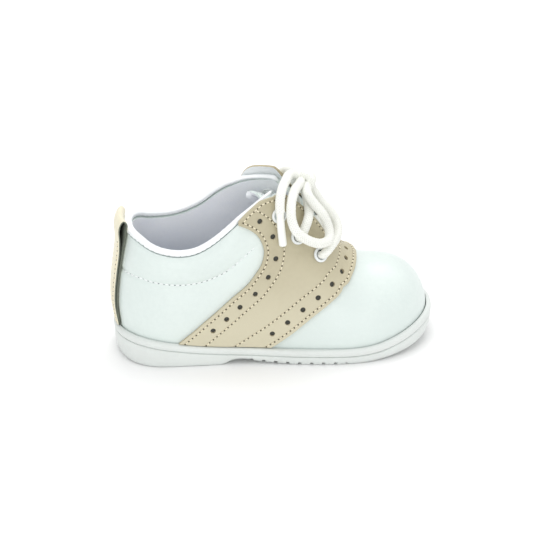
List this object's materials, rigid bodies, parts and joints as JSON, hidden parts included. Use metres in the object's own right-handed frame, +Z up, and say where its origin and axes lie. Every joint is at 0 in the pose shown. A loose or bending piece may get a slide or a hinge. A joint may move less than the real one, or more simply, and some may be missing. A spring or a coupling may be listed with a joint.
{
  "type": "saddle shoe",
  "caption": "Toddler's low saddle shoe for the right foot: white leather upper with a punched beige saddle over the instep, padded collar, pull tab and white rubber cup sole.",
  "frame": {"origin": "on the floor under the middle of the shoe's box, the laces left out", "axes": "+X towards the toe, +Y towards the inner side of the foot, +Z up"},
  "size_m": [0.133, 0.0566, 0.0767],
  "materials": {
    "rubber_white": "satin moulded rubber",
    "leather_white": "smooth semi-gloss leather",
    "leather_beige": "smooth satin leather with punched holes",
    "binding_white": "soft rolled binding",
    "sock_lining": "brushed lining",
    "eyelet": "gloss white enamel",
    "lace": "round cotton braid",
    "lace_tip": "smooth sleeve"
  },
  "bodies": {
    "root": {"outsole": "rubber_white", "insole": "sock_lining", "upper": "leather_white", "collar_binding": "binding_white", "saddle": "leather_beige", "tongue": "leather_white", "heel_tab": "leather_beige", "lace_bar_middle": "lace", "lace_bar_bottom": "lace", "lace_run_medial": "lace", "eyelet_lateral_top": "eyelet", "eyelet_medial_top": "eyelet", "eyelet_lateral_middle": "eyelet", "eyelet_medial_middle": "eyelet", "eyelet_lateral_bottom": "eyelet", "eyelet_medial_bottom": "eyelet", "lace_knot": "lace", "lace_end_lateral": "lace", "lace_loop_lateral": "lace", "lace_strand_middle": "lace", "lace_strand_bottom": "lace", "lace_loop_medial": "lace", "lace_end_medial": "lace", "aglet_lateral": "lace_tip", "aglet_medial": "lace_tip"}
  },
  "joints": []
}
